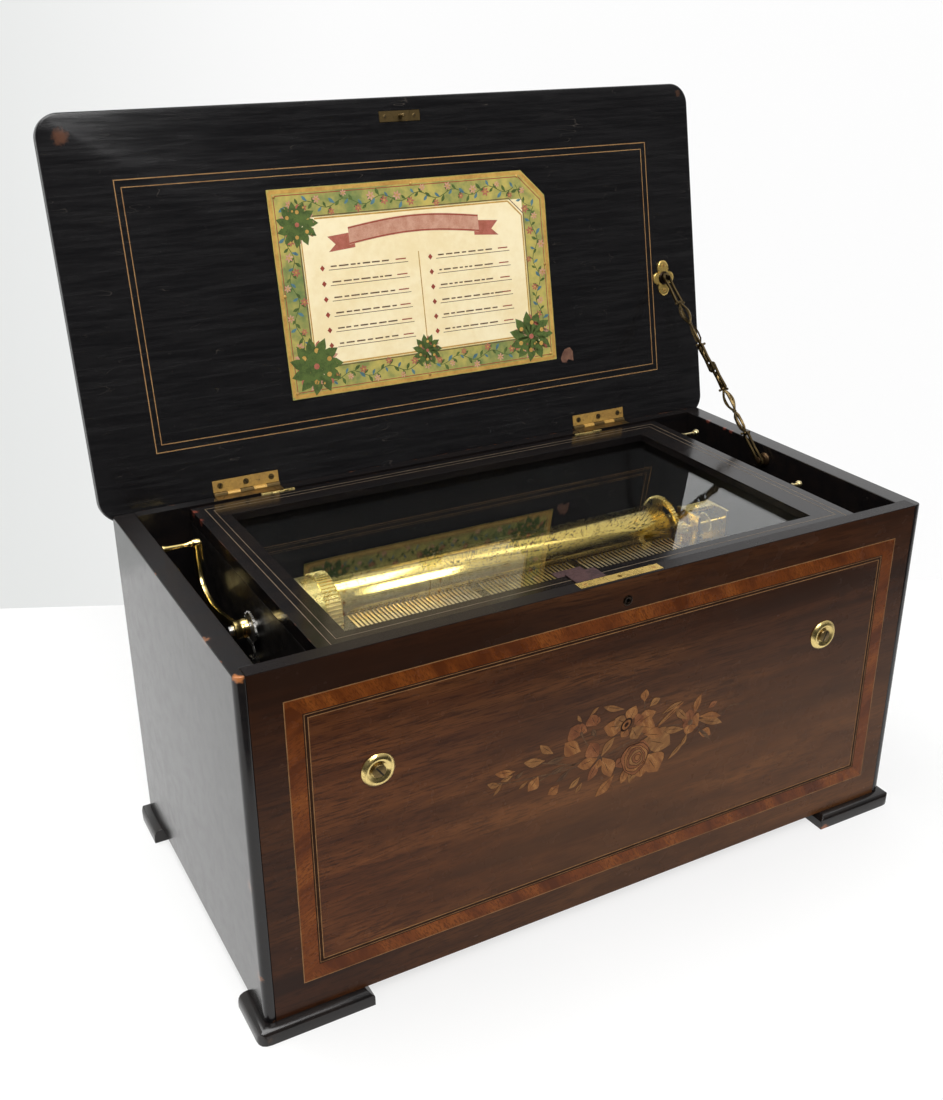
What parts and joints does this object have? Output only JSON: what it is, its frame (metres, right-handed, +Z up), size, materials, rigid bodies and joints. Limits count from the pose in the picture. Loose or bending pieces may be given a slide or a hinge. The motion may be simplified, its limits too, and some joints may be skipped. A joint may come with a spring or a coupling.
{
  "type": "cylinder music box",
  "caption": "Lever-wound cylinder music box in a veneered wooden case, with a hinged lid on a chain and an inner glass lid over the pinned cylinder and combs.",
  "frame": {"origin": "centre of the footprint at the underside of the feet", "axes": "+X along the case from the winding lever's end to the chain's end, +Y from the front to the hinged back, +Z up"},
  "size_m": [0.6172, 0.3865, 0.6095],
  "materials": {
    "black_gloss": "ebonised and polished",
    "rosewood": "veneered and polished",
    "raw_wood": "bare",
    "brass": "polished",
    "aged_brass": "dull with age",
    "dark_bronze": "dark with age",
    "steel": "polished",
    "iron": "dark paint",
    "paper": "matt card",
    "glass": "clear",
    "leather": "worn"
  },
  "bodies": {
    "case": {"front_board": "rosewood", "left_side_board": "black_gloss", "right_side_board": "black_gloss", "back_board": "black_gloss", "bottom_board": "raw_wood", "left_partition": "black_gloss", "right_partition": "black_gloss", "foot_front_left": "black_gloss", "foot_back_left": "black_gloss", "foot_front_right": "black_gloss", "foot_back_right": "black_gloss", "lock": "brass", "keyhole_escutcheon": "dark_bronze", "bedplate": "iron", "case_screw_front_left": "brass", "case_screw_back_left": "brass", "case_screw_front_right": "brass", "case_screw_back_right": "brass", "hinge_rim_leaf_left": "aged_brass", "hinge_rim_leaf_right": "aged_brass", "chain_wall_plate": "dark_bronze", "glass_hinge_wall_leaf_left": "brass", "glass_hinge_wall_leaf_right": "brass", "barrel_bridge": "brass", "end_bridge": "brass", "bass_comb": "steel", "treble_comb": "steel", "comb_base": "brass", "organ_keys": "brass", "reed_chest": "raw_wood", "bellows": "leather", "governor_frame": "brass", "ratchet_click": "steel"},
    "lock_bolt": {"lock_bolt": "steel"},
    "lid": {"lid": "black_gloss", "hinge_lid_leaf_left": "aged_brass", "hinge_lid_leaf_right": "aged_brass", "strike_plate": "brass", "tune_card": "paper", "lid_chain_plate": "brass"},
    "chain_upper": {"chain_upper": "dark_bronze"},
    "chain_lower": {"chain_lower": "dark_bronze"},
    "glass_lid": {"glass_lid_frame": "black_gloss", "glass_pane": "glass", "pull_tab": "leather", "glass_hinge_frame_leaf_left": "brass", "glass_hinge_frame_leaf_right": "brass"},
    "cylinder": {"cylinder": "brass", "cylinder_arbor": "steel", "great_wheel": "dark_bronze", "spring_barrel": "brass", "barrel_cap": "brass", "mainspring": "steel"},
    "governor_wheel": {"governor_wheel": "brass"},
    "governor_fan": {"governor_fan": "steel"},
    "winding_arbor": {"winding_arbor": "steel"},
    "winding_lever": {"winding_lever": "brass", "winding_grip": "brass"},
    "stop_lever": {"stop_lever": "brass"},
    "change_lever": {"change_lever": "brass"}
  },
  "joints": [
    {"name": "lid_hinge", "type": "hinge", "parent": "case", "child": "lid", "pos_m": [0, 0.12053, 0.3004], "axis": [1, 0, 0], "range_deg": [0, 100.8]},
    {"name": "glass_lid_hinge", "type": "hinge", "parent": "case", "child": "glass_lid", "pos_m": [0, 0.10783, 0.2984], "axis": [1, 0, 0], "range_deg": [-95, 0]},
    {"name": "cylinder_spin", "type": "hinge", "parent": "case", "child": "cylinder", "pos_m": [0, -0.04677, 0.2593], "axis": [1, 0, 0], "continuous": true},
    {"name": "governor_wheel_spin", "type": "hinge", "parent": "case", "child": "governor_wheel", "pos_m": [0, -0.07703, 0.27031], "axis": [1, 0, 0], "continuous": true},
    {"name": "governor_fan_spin", "type": "hinge", "parent": "case", "child": "governor_fan", "pos_m": [0.1595, -0.06563, 0.013], "axis": [0, 0, 1], "continuous": true},
    {"name": "winding_lever_pivot", "type": "hinge", "parent": "case", "child": "winding_lever", "pos_m": [0, -0.04677, 0.2593], "axis": [-1, 0, 0], "range_deg": [-115, 0]},
    {"name": "winding_arbor_turn", "type": "hinge", "parent": "case", "child": "winding_arbor", "pos_m": [0, -0.04677, 0.2593], "axis": [-1, 0, 0], "range_deg": [-116, 1]},
    {"name": "change_lever_pivot", "type": "hinge", "parent": "case", "child": "change_lever", "pos_m": [0.238, 0.06373, 0.228], "axis": [1, 0, 0], "range_deg": [0, 18]},
    {"name": "stop_lever_pivot", "type": "hinge", "parent": "case", "child": "stop_lever", "pos_m": [0.238, -0.09267, 0.228], "axis": [1, 0, 0], "range_deg": [0, 18]},
    {"name": "lock_bolt_slide", "type": "slide", "parent": "case", "child": "lock_bolt", "axis": [1, 0, 0], "range_m": [0, 0.006]},
    {"name": "chain_lower_swing", "type": "hinge", "parent": "case", "child": "chain_lower", "pos_m": [0.2755, -0.01027, 0.287], "axis": [1, 0, 0], "range_deg": [-130.32, 1]},
    {"name": "chain_upper_swing", "type": "hinge", "parent": "lid", "child": "chain_upper", "pos_m": [0.2684, 0.13856, 0.43236], "axis": [1, 0, 0], "range_deg": [-1, 10.88]}
  ],
  "couplings": [
    {"joint": "governor_wheel_spin", "follows": "cylinder_spin", "ratio": -6},
    {"joint": "governor_fan_spin", "follows": "cylinder_spin", "ratio": 90},
    {"joint": "winding_arbor_turn", "follows": "winding_lever_pivot", "ratio": 1},
    {"joint": "chain_lower_swing", "follows": "lid_hinge", "ratio": -1.283},
    {"joint": "chain_upper_swing", "follows": "lid_hinge", "ratio": 0.097974}
  ]
}
